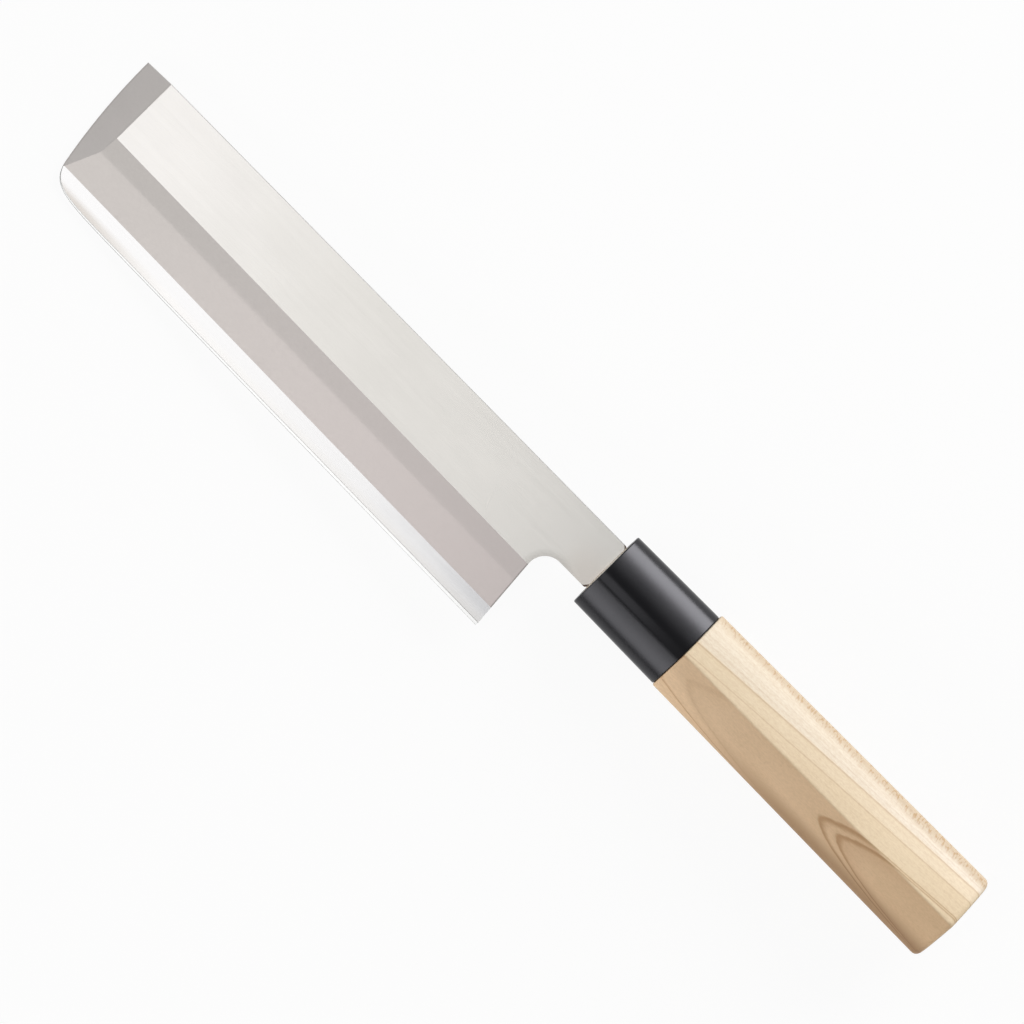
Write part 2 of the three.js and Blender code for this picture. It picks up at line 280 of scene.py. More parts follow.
bladeForm = {
    "tipHeight": 40.9,  # spine to the edge line, at the tip
    "tipBow": 175.0,  # radius of the square tip
    "tipFall": 0.3,  # drop of the spine over the tip facet
    "tipFacet": 8.6,
    "tipFacetSlope": math.radians(11.3),
    "cornerRise": 7.7,  # round corner between tip and edge
    "cornerRun": 27.6,
    "cornerTipPull": 7.3,
    "cornerEdgePull": 19.8,
    "neckLength": 13.0,  # heel corner to ferrule
    "neckHeight": 15.3,
    "heelLean": math.radians(5),
    "heelRound": 0.5,
    "heelSteps": 6,
    "choilRound": 5.5,
    "choilSteps": 32,
    "shoulderCuts": ((1.5, 1.7), (1.1, 0.95)),  # lower and upper corner, along and up
    "shoulderSwell": 0.15,  # pull of the cuts towards the corner
    "shoulderGap": 0.12,  # shoulder in front of the ferrule
    "tangRoot": 10.0,
    "tangEnd": 6.0,
    "tangSteps": 16,
    "bands": (  # distance in from the edge line, and slope
        (20.9, math.radians(1)),
        (15.4, math.radians(5)),
        (6.05, math.radians(12)),
    ),
    "edgeSteps": (  # start in from the outline, at the tip and at the heel, and fall at each
        ((0.59, 0.99), (0.045, 0.045)),
        ((0.45, 0.85), (0.13, 0.215)),
        ((0.1, 0.1), (0.12, 0.12)),
        ((0.0, 0.0), (0.0, 0.0)),
    ),
    "cornerTaper": 0.92,  # how much finer those steps get up the round corner
    "spineEase": (0.15, 1),  # size and steps
    "choilEase": (0.3, 4),
    "facetAngle": math.radians(0.45),  # level faces that turn more meet in a crisp line
}
backHollow = {
    "depth": 0.3,
    "runout": 14.0,  # length over which it fades at each end
    "spineRim": 3.5,
    "edgeRim": 3.0,
    "tipRim": 8.0,
    "heelRim": 7.0,
    "slicesAlong": 72,
    "slicesAcross": 24,
}
(
    flatFinish, bandFinish, edgeFinish, bevelFinish, tipFinish, backFinish,
    lineFinish, rimFinish, spineFinish,
) = range(9)

tipX = bladeLow.x
facetX = tipX + bladeForm["tipFacet"]
spineY = bladeHigh.y
frontZ = bladeHigh.z
backZ = bladeLow.z
heelX = ferruleLow.x - bladeForm["neckLength"]
shoulderX = noseX - bladeForm["shoulderGap"]
# Turn of the bowed tip, from the spine down to the round corner
bowTurn = math.asin((bladeForm["tipHeight"] - bladeForm["cornerRise"]) / bladeForm["tipBow"])


def edgeY(x):  # the straight line of the edge
    share = (x - tipX) / (heelX - tipX)
    tipEdge = spineY - bladeForm["tipHeight"]
    return tipEdge + share * (bladeLow.y - tipEdge)


def tipCorner():  # from the tip to the edge: start, two pulls and end
    form = bladeForm
    start = Vector((
        tipX + form["tipBow"] * (1 - math.cos(bowTurn)),
        spineY - form["tipHeight"] + form["cornerRise"],
        backZ,
    ))
    endX = tipX + form["cornerRun"]
    end = Vector((endX, edgeY(endX), backZ))
    tipWay = Vector((math.sin(bowTurn), -math.cos(bowTurn), 0))
    edgeWay = Vector((heelX - endX, edgeY(heelX) - end.y, 0)).normalized()
    return start, start + tipWay * form["cornerTipPull"], end - edgeWay * form["cornerEdgePull"], end


def choilCentre():  # middle of the round notch between heel and neck
    form = bladeForm
    y = axisY - form["neckHeight"] / 2 - form["choilRound"]
    across = form["choilRound"] - (y - edgeY(heelX)) * math.sin(form["heelLean"])
    return Vector((heelX + across / math.cos(form["heelLean"]), y, backZ))


def cutCorner(bm, pen, corner, end):  # takes off a corner in a slight curve
    swell = bladeForm["shoulderSwell"]
    return curveTo(bm, pen, pen.co.lerp(corner, swell), end.lerp(corner, swell), end, smallCurveSteps)


def bladeOutline(bm):
    form = bladeForm
    (lowRun, lowRise), (highRun, highRise) = form["shoulderCuts"]
    tipPull, edgePull, cornerEnd = tipCorner()[1:]
    low = axisY - form["neckHeight"] / 2
    high = axisY + form["neckHeight"] / 2
    lean = Vector((-math.sin(form["heelLean"]), math.cos(form["heelLean"]), 0))
    choil = choilCentre()
    choilStart = choil - Vector((lean.y, -lean.x, 0)) * form["choilRound"]
    tangX = bladeHigh.x - form["tangEnd"] / 2
    fallTurn = math.asin(form["tipFall"] / form["tipBow"])

    def at(x, y):
        return Vector((x, y, backZ))

    def draw(pen):
        pen = arcBy(bm, pen, at(tipX + form["tipBow"], spineY), bowTurn - fallTurn, curveSteps)
        pen = curveTo(bm, pen, tipPull, edgePull, cornerEnd)
        beforeHeel = heelX - form["heelRound"]
        pen = lineTo(bm, pen, at(beforeHeel, edgeY(beforeHeel)))
        heel = at(heelX, edgeY(heelX))
        pen = curveTo(bm, pen, heel, heel, heel + lean * form["heelRound"], form["heelSteps"])
        pen = lineTo(bm, pen, choilStart)
        pen = arcBy(bm, pen, choil, -math.pi / 2 - form["heelLean"], form["choilSteps"])
        pen = lineTo(bm, pen, at(shoulderX - lowRun, low))
        pen = cutCorner(bm, pen, at(shoulderX, low), at(shoulderX, low + lowRise))
        pen = lineTo(bm, pen, at(shoulderX, axisY - form["tangRoot"] / 2))
        pen = lineTo(bm, pen, at(tangX, axisY - form["tangEnd"] / 2))
        pen = arcBy(bm, pen, at(tangX, axisY), math.pi, form["tangSteps"])
        pen = lineTo(bm, pen, at(shoulderX, axisY + form["tangRoot"] / 2))
        pen = lineTo(bm, pen, at(shoulderX, high - highRise))
        pen = cutCorner(bm, pen, at(shoulderX, high), at(shoulderX - highRun, high))
        return lineTo(bm, pen, at(facetX, spineY))

    tipTop = at(tipX + form["tipBow"] * (1 - math.cos(fallTurn)), spineY - form["tipFall"])
    return closedLoop(bm, tipTop, draw)


def grindFlat(bm, a, b, c, finish):  # takes off what lies above the plane through three points
    normal = (b - a).cross(c - a).normalized()
    if normal.z < 0:
        normal.negate()
    whole = bm.verts[:] + bm.edges[:] + bm.faces[:]
    cut = bmesh.ops.bisect_plane(
        bm, geom=whole, dist=cutTolerance, plane_co=a, plane_no=normal, clear_outer=True
    )
    rim = [part for part in cut["geom_cut"] if isinstance(part, bmesh.types.BMEdge)]
    if rim:
        capLoop(bm, rim, finish)


def grindBands(bm):
    z = frontZ
    insets = [inset for inset, slope in bladeForm["bands"]] + [0.0]
    finishes = (bandFinish, bandFinish, edgeFinish)
    for (inset, slope), following, finish in zip(bladeForm["bands"], insets[1:], finishes):
        below = z - (inset - following) * math.tan(slope)
        grindFlat(
            bm,
            Vector((tipX, edgeY(tipX) + inset, z)),
            Vector((heelX, edgeY(heelX) + inset, z)),
            Vector((heelX, edgeY(heelX) + following, below)),
            finish,
        )
        z = below
    facetFall = bladeForm["tipFacet"] * math.tan(bladeForm["tipFacetSlope"])
    grindFlat(
        bm,
        Vector((facetX, 0, frontZ)),
        Vector((facetX, spineY, frontZ)),
        Vector((tipX, 0, frontZ - facetFall)),
        tipFinish,
    )


def edgeBandZ(place):  # height of the last band's plane
    insets = [inset for inset, slope in bladeForm["bands"]] + [place.y - edgeY(place.x)]
    z = frontZ
    for (inset, slope), following in zip(bladeForm["bands"], insets[1:]):
        z -= (inset - following) * math.tan(slope)
    return z


def grindEdge(bm):  # fine line, bright bevel and rim, round the corner and along the edge
    stops = interpolate_bezier(*tipCorner(), curveSteps + 1)
    stops.append(Vector((heelX, edgeY(heelX), backZ)))

    def profile(stop, inward):  # the steps' corners, from the band to the outline
        point = stops[stop]
        share = (point.x - tipX) / (heelX - tipX)
        growth = 1 - bladeForm["cornerTaper"] * (1 - min(1, stop / curveSteps)) ** 2
        corners = []
        fall = 0.0
        for insets, falls in bladeForm["edgeSteps"]:
            inset, drop = [(tip + share * (heel - tip)) * growth for tip, heel in (insets, falls)]
            corner = point + inward * inset
            corner.z = edgeBandZ((corners or [corner])[0]) - fall
            corners.append(corner)
            fall += drop
        return corners

    for stop in range(len(stops) - 1):
        way = (stops[stop + 1] - stops[stop]).normalized()
        inward = Vector((-way.y, way.x, 0))
        one, other = profile(stop, inward), profile(stop + 1, inward)
        for number, finish in enumerate((lineFinish, bevelFinish, rimFinish)):
            grindFlat(bm, one[number], other[number], one[number + 1], finish)


def ease(bm, edges, size, steps):
    return bmesh.ops.bevel(
        bm, geom=[edge for edge in edges if edge.is_valid], offset=size, offset_type="OFFSET",
        affect="EDGES", segments=steps, profile=0.5, material=-1, clamp_overlap=True,
    )["faces"]


def easeEdges(bm):  # takes the sharpness off the spine, the neck and the choil
    lowest = axisY - bladeForm["neckHeight"] / 2 - bladeForm["choilRound"]
    spine, choil = [], []
    for edge in bm.edges:
        tilts = sorted(abs(face.normal.z) for face in edge.link_faces)
        onOutline = len(tilts) == 2 and tilts[0] < uprightTilt and tilts[1] > levelTilt
        middle = (edge.verts[0].co + edge.verts[1].co) / 2
        if onOutline and facetX < middle.x < shoulderX and middle.y > lowest:
            (spine if middle.y > axisY else choil).append(edge)
    ease(bm, choil, *bladeForm["choilEase"])
    for face in ease(bm, spine, *bladeForm["spineEase"]):
        face.material_index = spineFinish


def cutAcross(bm, faces, point, normal):
    parts = set(faces)
    for face in faces:
        parts.update(face.edges)
        parts.update(face.verts)
    bmesh.ops.bisect_plane(bm, geom=list(parts), dist=cutTolerance, plane_co=point, plane_no=normal)


def grindHollow(bm):  # the shallow hollow in the back, inside a flat rim
    form = backHollow
    left = tipX + form["tipRim"]
    right = heelX - form["heelRim"]
    top = spineY - form["spineRim"]
    bottom = edgeY(tipX) + form["edgeRim"]

    def backFaces(low=-math.inf, high=math.inf):
        return [
            face for face in bm.faces
            if face.normal.z < -levelTilt and low < face.calc_center_median().x < high
        ]

    bm.normal_update()
    for x in (left, right):
        cutAcross(bm, backFaces(), (x, 0, backZ), (1, 0, 0))
    for i in range(form["slicesAcross"] + 1):
        y = bottom + (top - bottom) * i / form["slicesAcross"]
        cutAcross(bm, backFaces(left, right), (0, y, backZ), (0, 1, 0))
    for i in range(1, form["slicesAlong"]):
        x = left + (right - left) * i / form["slicesAlong"]
        cutAcross(bm, backFaces(left, right), (x, 0, backZ), (1, 0, 0))
    runShare = 2 * form["runout"] / (right - left)
    for face in backFaces():
        face.material_index = backFinish
    for vert in bm.verts:
        along = abs(2 * (vert.co.x - left) / (right - left) - 1)
        across = abs(2 * (vert.co.y - bottom) / (top - bottom) - 1)
        if abs(vert.co.z - backZ) < mergeDistance and along < 1 and across < 1:
            fade = min(1, (1 - along) / runShare)
            vert.co.z += form["depth"] * (1 - across ** 2) * fade * fade * (3 - 2 * fade)


def bladeSharp(edge):  # facets stay crisp, round corners and the hollow stay smooth
    one, other = edge.link_faces
    if one.material_index != other.material_index:
        return 0.0
    level = max(abs(one.normal.z), abs(other.normal.z)) > levelTilt
    return bladeForm["facetAngle"] if level else roundAngle


def makeBlade(materials):
    bm = bmesh.new()
    pullLoop(bm, bladeOutline(bm), (0, 0, frontZ - backZ), flatFinish)
    bmesh.ops.recalc_face_normals(bm, faces=bm.faces)
    grindBands(bm)
    grindEdge(bm)
    closeSeams(bm)
    easeEdges(bm)
    grindHollow(bm)
    return finishPiece(bm, "knife_blade", "blade", materials, bladeSharp)


# Ferrule and handle

gripForm = {
    "ridgeDrop": 1.35,  # ridge below the handle's middle, towards the edge
    "upperLean": math.radians(22),
    "lowerLean": math.radians(30),
    "roundSteps": 6,
}
ferruleForm = {
    "nose": (23.8, 9.4, 8.6),  # height, ridge and back
    "rear": (24.4, 9.7, 8.9),
    "drop": 0.3,  # ferrule's middle below the handle's
    "ridgeRound": (4.0, 2.2),  # towards the spine and towards the edge
    "fullness": (0.69, 0.7),
    "edgeRound": 0.4,
    "wall": 2.0,
}
handleForm = {
    "front": (25.6, 10.22, 9.5),
    "butt": (27.3, 10.92, 10.2),
    "ridgeRound": (0.45, 0.45),
    "fullness": (0.65, 0.7),
    "frontRound": 0.5,
    "buttRound": 1.8,
    "seatGap": 0.1,  # ferrule to the handle's shoulder
    "tenonClearance": 0.3,
    "tenonRecess": 0.1,  # tenon's end behind the ferrule's front
    "slotMouth": (15.7, 5.0),  # height and width
    "slotEnd": (8.0, 4.4),
    "slotSteps": 12,
}
tenonX = noseX + handleForm["tenonRecess"]
peakPull = 2 / 3  # of a curve's handles towards the peak that it rounds off
quarterPull = 4 / 3 * math.tan(math.pi / 8)  # of those that make a round quarter


def gripRing(bm, x, section, form, inset=0.0, drop=0.0):
    ridgeDrop = gripForm["ridgeDrop"]
    height, ridge, back = section
    side = height / 2 - inset
    ridge -= inset
    back -= inset
    middle = axisY - drop

    def place(y, z):
        return Vector((x, middle + y, midZ + z))

    def flank(end, lean, ridgeRound):
        shoulder = place(end, ridge - abs(end + ridgeDrop) * math.tan(lean))
        crest = place(
            math.copysign(ridgeRound * math.cos(lean), end) - ridgeDrop,
            ridge - ridgeRound * math.sin(lean),
        )
        return shoulder, crest

    upperRound, lowerRound = form["ridgeRound"]
    upperFull, lowerFull = form["fullness"]
    upperShoulder, upperCrest = flank(side, gripForm["upperLean"], upperRound)
    lowerShoulder, lowerCrest = flank(-side, gripForm["lowerLean"], lowerRound)
    top = place(-ridgeDrop, ridge)
    sidePull = back * quarterPull
    backPull = side * quarterPull

    def draw(pen):
        pen = curveTo(
            bm, pen,
            place(side, (upperShoulder.z - midZ) * upperFull),
            upperCrest.lerp(upperShoulder, upperFull),
            upperCrest,
        )
        pen = curveTo(
            bm, pen,
            upperCrest.lerp(top, peakPull),
            lowerCrest.lerp(top, peakPull),
            lowerCrest, smallCurveSteps,
        )
        pen = curveTo(
            bm, pen,
            lowerCrest.lerp(lowerShoulder, lowerFull),
            place(-side, (lowerShoulder.z - midZ) * lowerFull),
            place(-side, 0),
        )
        pen = curveTo(bm, pen, place(-side, -sidePull), place(-backPull, -back), place(0, -back))
        stops = interpolate_bezier(
            pen.co, place(backPull, -back), place(side, -sidePull), place(side, 0), curveSteps + 1
        )
        for stop in stops[1:-1]:
            pen = lineTo(bm, pen, stop)
        return pen

    return closedLoop(bm, place(side, 0), draw)


def between(start, end, share):
    return tuple(a + (b - a) * share for a, b in zip(start, end))


def gripBody(bm, startX, endX, startSection, endSection, form, startRound, endRound, drop=0.0):
    turns = [math.pi / 2 * i / gripForm["roundSteps"] for i in range(gripForm["roundSteps"] + 1)]
    stations = [
        (startX + startRound * (1 - math.cos(t)), startRound * (1 - math.sin(t))) for t in turns
    ]
    stations += [
        (endX - endRound * (1 - math.cos(t)), endRound * (1 - math.sin(t))) for t in reversed(turns)
    ]
    loops = []
    for x, inset in stations:
        section = between(startSection, endSection, (x - startX) / (endX - startX))
        loops.append(gripRing(bm, x, section, form, inset, drop))
    bridgeLoops(bm, loops)
    return loops[0], loops[-1]


def makeFerrule(material):
    form = ferruleForm
    bm = bmesh.new()
    front, rear = gripBody(
        bm, noseX, ferruleHigh.x, form["nose"], form["rear"],
        form, form["edgeRound"], form["edgeRound"], form["drop"],
    )
    bore = [
        gripRing(bm, x, form["nose"], form, form["wall"], form["drop"])
        for x in (noseX, ferruleHigh.x)
    ]
    bridgeLoops(bm, [front, *bore, rear])
    return finishPiece(bm, "knife_ferrule", "ferrule", [material])


def slotRing(bm, x, size, inset=0.0):  # a slot with round ends
    height, width = size
    radius = width / 2 - inset
    reach = height / 2 - inset - radius

    def endBy(pen, y):
        return arcBy(bm, pen, (x, y, midZ), math.pi, handleForm["slotSteps"], (1, 0, 0))

    def draw(pen):
        pen = endBy(pen, axisY + reach)
        pen = lineTo(bm, pen, (x, axisY - reach, midZ + radius))
        return endBy(pen, axisY - reach)

    return closedLoop(bm, (x, axisY + reach, midZ - radius), draw)


def makeHandle(material):
    form = handleForm
    bm = bmesh.new()
    frontX = ferruleHigh.x + form["seatGap"]
    front, butt = gripBody(
        bm, frontX, handleHigh.x, form["front"], form["butt"],
        form, form["frontRound"], form["buttRound"],
    )
    inset = ferruleForm["wall"] + form["tenonClearance"]
    tenonEnd, tenonRoot = [
        gripRing(bm, x, ferruleForm["nose"], ferruleForm, inset, ferruleForm["drop"])
        for x in (tenonX, frontX)
    ]
    mouth = slotRing(bm, tenonX, form["slotMouth"])
    end = slotRing(bm, glueHigh.x, form["slotEnd"])
    bridgeLoops(bm, [front, tenonRoot, tenonEnd])
    bridgeLoops(bm, [mouth, end])
    bmesh.ops.triangle_fill(bm, edges=tenonEnd + mouth, use_beauty=True)
    capLoop(bm, butt)
    capLoop(bm, end)
    return finishPiece(bm, "knife_handle", "handle", [material])


# Adhesive

glueForm = {
    "gap": 0.2,  # to the tang and to the slot
    "beadGap": 0.04,  # to the blade's corner and to the ferrule
    "beadDepth": 2.3,  # through the blade's thickness
    "beadFoot": 0.58,  # share of the cut that the bead covers along the neck and along the ferrule
    "beadHollow": 0.1,  # how far the bead's free side sinks in
    "fillet": 0.2,  # pale line where the neck's faces meet the ferrule
    "filletEnd": 0.2,  # stops short of the neck's sides
}


def tangRing(bm, x, height):
    across = height / 2 + glueForm["gap"]
    deep = (frontZ - backZ) / 2 + glueForm["gap"]

    def draw(pen):
        for y, z in ((across, deep), (-across, deep), (-across, -deep)):
            pen = lineTo(bm, pen, (x, axisY + y, midZ + z))
        return pen

    return closedLoop(bm, (x, axisY + across, midZ - deep), draw)


def addBead(bm, way, cut):  # fills the corner that is off the neck
    run, lift = cut
    gap = glueForm["beadGap"]
    foot = glueForm["beadFoot"]
    side = axisY + way * bladeForm["neckHeight"] / 2
    low = midZ - glueForm["beadDepth"] / 2
    begin = Vector((shoulderX - run + 2 * gap, side, low))
    corner = Vector((shoulderX + gap, side, low))
    end = Vector((shoulderX + gap, side - way * lift, low))
    onFerrule = Vector((noseX - gap, end.y + way * lift * foot, low))
    onNeck = Vector((begin.x + run * foot, side - way * gap, low))
    hollow = (onNeck + onFerrule) / 2 - Vector((0, way * glueForm["beadHollow"], 0))

    def draw(pen):
        pen = cutCorner(bm, pen, corner, end)
        pen = lineTo(bm, pen, (noseX - gap, end.y, low))
        pen = lineTo(bm, pen, onFerrule)
        return curveTo(bm, pen, hollow, hollow, onNeck, smallCurveSteps)

    pullLoop(bm, closedLoop(bm, begin, draw), (0, 0, glueForm["beadDepth"]))


def addFillet(bm, way):
    size = glueForm["fillet"]
    z = midZ + way * ((frontZ - backZ) / 2 + glueForm["beadGap"])
    x = noseX - glueForm["beadGap"]
    reach = bladeForm["neckHeight"] / 2 - glueForm["filletEnd"]

    def draw(pen):
        pen = lineTo(bm, pen, (x, axisY - reach, z))
        return lineTo(bm, pen, (x, axisY - reach, z + way * size))

    pullLoop(bm, closedLoop(bm, (x - size, axisY - reach, z), draw), (0, 2 * reach, 0))


def makeAdhesive(material):
    bm = bmesh.new()
    gap = glueForm["gap"]
    outer = [
        slotRing(bm, tenonX, handleForm["slotMouth"], gap),
        slotRing(bm, glueHigh.x - gap, handleForm["slotEnd"], gap),
    ]
    inner = [
        tangRing(bm, tenonX, bladeForm["tangRoot"]),
        tangRing(bm, bladeHigh.x + gap, bladeForm["tangEnd"]),
    ]
    bridgeLoops(bm, outer)
    bridgeLoops(bm, inner)
    bmesh.ops.triangle_fill(bm, edges=outer[0] + inner[0], use_beauty=True)
    capLoop(bm, outer[1])
    capLoop(bm, inner[1])
    for way, cut in zip((-1, 1), bladeForm["shoulderCuts"]):
        addBead(bm, way, cut)
        addFillet(bm, way)
    return finishPiece(bm, "knife_adhesive", "tang_adhesive", [material])


# Steel finishes: marks change the colour by the shares in colourBy, and the roughness by those in roughBy

steelLook = {
    "flat": {
        "tones": (("#f4f1ee", -150.0), ("#e8e5e0", -60.0), ("#f2efea", 15.0)),  # from tip to neck
        "marks": "#d6d3cd",
        "markShare": 0.12,
        "colourBy": {"clouds": 0.15, "streaks": 0.2, "hairs": 0.12},
        "neckHairs": 0.3,  # added towards the neck
        "neckRun": 30.0,  # starts in front of the heel
        "neckShade": "#eae4dd",  # painted shade, low on the neck
        "neckShadeRun": 10.0,  # behind the heel
        "neckShadeHalf": 5.0,  # above and below the handle's middle
        # painted shade where the flat rounds over into the choil
        "choilShade": "#c9c5bf",
        "choilShare": 0.5,
        "choilReach": 2.6,
        "roughness": 0.24,
        "roughBy": {"hairs": 0.04, "clouds": 0.03},
        "bump": 0.06,
    },
    "bands": {
        "upper": ("#c7c2be", "#e1d8d5"),  # at the tip and at the heel
        "lower": ("#cfc9c5", "#e3d9d6"),
        "toneRun": 20.0,  # ends behind the heel
        "upperShare": (0.15, 0.85),  # below the line between the two and above it
        "softness": 1.6,  # of that line
        "lineBy": {"streaks": 0.6},
        "colourBy": {"clouds": 0.4, "speckle": 0.6},
        "heelShade": "#a39e9a",  # painted shade of the eased edge of the heel
        "heelShare": 0.8,
        "heelReach": (0.15, 0.5),
        "roughness": 0.3,
        "upperRoughness": 0.04,  # added above the line
        "roughBy": {"speckle": 0.1},
        "bump": 0.1,
    },
    "edge": {
        "bright": "#f1f0f0",
        "warm": ("#dcd6d0", "#faf8f6"),  # at the tip, darker there as painted shade of the round corner, and further on
        "warmFrom": (12.0, 50.0),  # behind the tip
        "warmUpTo": (1.0, 3.6),  # in from the edge line
        "warmBy": {"streaks": 0.8},
        "colourBy": {"hairs": 0.2},
        "cloud": "#dcdcde",
        "cloudShare": (0.12, 0.8),  # at the edge and further in
        "cloudFrom": (2.0, 5.0),
        "cloudRun": 45.0,  # in front of the heel
        "cloudBy": {"clouds": 40.0},
        "roughness": 0.2,
        "warmRoughness": 0.06,  # added along the edge
        "roughBy": {"hairs": 0.08},
        "bump": 0.1,
    },
    "line": {
        "tones": ("#efecea", "#c2beba"),  # at the tip and at the heel
        "toneRun": 30.0,  # in front of the heel
        "toneBy": {"clouds": 20.0},
        "colourBy": {"hairs": 0.3},
        "roughness": 0.4,
        "roughBy": {"hairs": 0.1},
        "metal": 0.3,
        "bump": 0.05,
    },
    "tip": {
        "light": "#d3cecb",
        "dark": "#c9c4c1",
        "rim": "#b6b1ae",
        "flatRim": (0.2, 0.3, 0.75),  # share of it along the flat, and where it fades
        "outlineRim": (0.7, 0.1, 0.6),
        "roughness": 0.3,
        "bump": 0.08,
    },
    "bevel": {"light": "#fdfdfc", "dark": "#f0f0ef", "roughness": 0.12, "bump": 0.05},
    "back": {"light": "#e2e0db", "dark": "#d2d0cb", "roughness": 0.28, "bump": 0.12},
    # outermost rim of the edge: dark tone is painted shade where light falls off at the very edge
    "rim": {"light": "#959491", "dark": "#898885", "roughness": 0.45, "metal": 0.3, "bump": 0.05},
    "spine": {"light": "#ebe9e6", "dark": "#e1dfdc", "roughness": 0.45, "metal": 0.3, "bump": 0.05},
    "twoTone": {  # for the finishes with a light and a dark tone
        "darkShare": 0.5,
        "colourBy": {"clouds": 0.9, "hairs": 0.3, "speckle": 0.6},
        "roughBy": {"hairs": 0.1},
    },
    "marks": {  # size of one mark, detail and roughness
        "hairs": ((16.0, 0.11, 0.11), 3.0, 0.6),
        "streaks": ((60.0, 1.6, 1.6), 2.0, 0.6),
        "clouds": ((20.0, 12.0, 12.0), 3.0, 0.6),
        "speckle": ((0.8, 0.6, 0.6), 3.0, 0.6),
    },
    "bumpDepth": 0.004,
}


def steelBase(name):
    material, wire, place = newMaterial(name)
    return material, wire, place, grains(place, steelLook["marks"])


def steelShade(wire, look, colour, roughness, height):
    shade(wire, {
        "Base Color": colour,
        "Roughness": roughness,
        "Metallic": look.get("metal", 1.0),
        "Normal": bump(height, look["bump"], steelLook["bumpDepth"]),
    })


def edgeDistance(place):  # x, and millimetres in from the edge line
    x, y = axes(seat(place))[:2]
    slope = (edgeY(heelX) - edgeY(tipX)) / (heelX - tipX)
    return x, y - (x - tipX) * slope - edgeY(tipX)


def distance(place, centre):  # millimetres from an upright line
    x, y = axes(seat(place, centre))[:2]
    return (x * x + y * y) ** 0.5


def fadeOut(value, share, low, high):  # the share below low, nothing above high
    return share - rise(value, low, high) * share


def flatSteel():
    look = steelLook["flat"]
    material, wire, place, marks = steelBase("satin_flat")
    x, y = axes(seat(place))[:2]
    (colourText, lastX), *others = look["tones"]
    colour = tone(colourText)
    for colourText, nextX in others:
        colour = blend(rise(x, lastX, nextX), colour, tone(colourText))
        lastX = nextX
    neck = rise(x, heelX - look["neckRun"], noseX)
    share = sway(look["markShare"], marks, look["colourBy"]) + marks["hairs"] * neck * look["neckHairs"]
    colour = blend(share, colour, tone(look["marks"]))
    # painted shade on the lower half of the neck, behind the heel
    below = 1 - rise(y, axisY - look["neckShadeHalf"], axisY + look["neckShadeHalf"])
    lowNeck = rise(x, heelX, heelX + look["neckShadeRun"]) * below
    colour = blend(lowNeck, colour, tone(look["neckShade"]))
    # painted shade where the flat rounds over into the choil
    fromChoil = distance(place, choilCentre()) - bladeForm["choilRound"]
    nearChoil = fadeOut(fromChoil, look["choilShare"], 0.0, look["choilReach"])
    colour = blend(nearChoil, colour, tone(look["choilShade"]))
    roughness = sway(look["roughness"], marks, look["roughBy"])
    steelShade(wire, look, colour, roughness, marks["hairs"])
    return material


def bandSteel():
    look = steelLook["bands"]
    material, wire, place, marks = steelBase("hazy_bands")
    x, inset = edgeDistance(place)
    line = sway(bladeForm["bands"][1][0], marks, look["lineBy"])
    upper = rise(inset - line, -look["softness"] / 2, look["softness"] / 2)
    lowShare, highShare = look["upperShare"]
    share = sway(lowShare + upper * (highShare - lowShare), marks, look["colourBy"])
    along = rise(x, tipX, heelX + look["toneRun"])
    lowerTone, upperTone = [blend(along, *map(tone, look[part])) for part in ("lower", "upper")]
    colour = blend(share, lowerTone, upperTone)
    # painted shade along the eased edge of the heel
    fromHeel = heelX - x - inset * math.tan(bladeForm["heelLean"])
    nearHeel = fadeOut(fromHeel, look["heelShare"], *look["heelReach"])
    colour = blend(nearHeel, colour, tone(look["heelShade"]))
    roughness = sway(look["roughness"] + upper * look["upperRoughness"], marks, look["roughBy"])
    steelShade(wire, look, colour, roughness, marks["speckle"])
    return material


def edgeSteel():
    look = steelLook["edge"]
    material, wire, place, marks = steelBase("polished_edge_band")
    x, inset = edgeDistance(place)
    low = 1 - rise(sway(inset, marks, look["warmBy"]), *look["warmUpTo"])
    # the warm tone is darker at the tip: painted shade of the round corner
    warm = blend(rise(x - tipX, *look["warmFrom"]), *map(tone, look["warm"]))
    colour = blend(sway(low, marks, look["colourBy"]), tone(look["bright"]), warm)
    heel = rise(sway(x, marks, look["cloudBy"]), heelX - look["cloudRun"], heelX)
    lowShare, highShare = look["cloudShare"]
    cloudShare = lowShare + rise(inset, *look["cloudFrom"]) * (highShare - lowShare)
    colour = blend(heel * cloudShare, colour, tone(look["cloud"]))
    roughness = sway(look["roughness"] + low * look["warmRoughness"], marks, look["roughBy"])
    steelShade(wire, look, colour, roughness, marks["hairs"])
    return material


def lineSteel():  # dull line above the bevel, which shows towards the heel
    look = steelLook["line"]
    material, wire, place, marks = steelBase("dull_edge_line")
    x = axes(seat(place))[0]
    heel = rise(sway(x, marks, look["toneBy"]), heelX - look["toneRun"], heelX)
    colour = blend(sway(heel, marks, look["colourBy"]), *map(tone, look["tones"]))
    roughness = sway(look["roughness"], marks, look["roughBy"])
    steelShade(wire, look, colour, roughness, marks["hairs"])
    return material


def twoTone(look, marks):
    shared = steelLook["twoTone"]
    share = sway(shared["darkShare"], marks, shared["colourBy"])
    roughness = sway(look["roughness"], marks, shared["roughBy"])
    return blend(share, tone(look["light"]), tone(look["dark"])), roughness


def tipSteel():  # darker along both of its long sides
    look = steelLook["tip"]
    material, wire, place, marks = steelBase("hazy_tip_facet")
    colour, roughness = twoTone(look, marks)
    fromFlat = facetX - axes(seat(place))[0]
    fromOutline = bladeForm["tipBow"] - distance(place, (tipX + bladeForm["tipBow"], spineY, 0))
    rim = fadeOut(fromFlat, *look["flatRim"]) + fadeOut(fromOutline, *look["outlineRim"])
    colour = blend(rim, colour, tone(look["rim"]))
    steelShade(wire, look, colour, roughness, marks["hairs"])
    return material


def plainSteel(name, look):
    material, wire, _, marks = steelBase(name)
    colour, roughness = twoTone(look, marks)
    steelShade(wire, look, colour, roughness, marks["hairs"])
    return material


# Wood

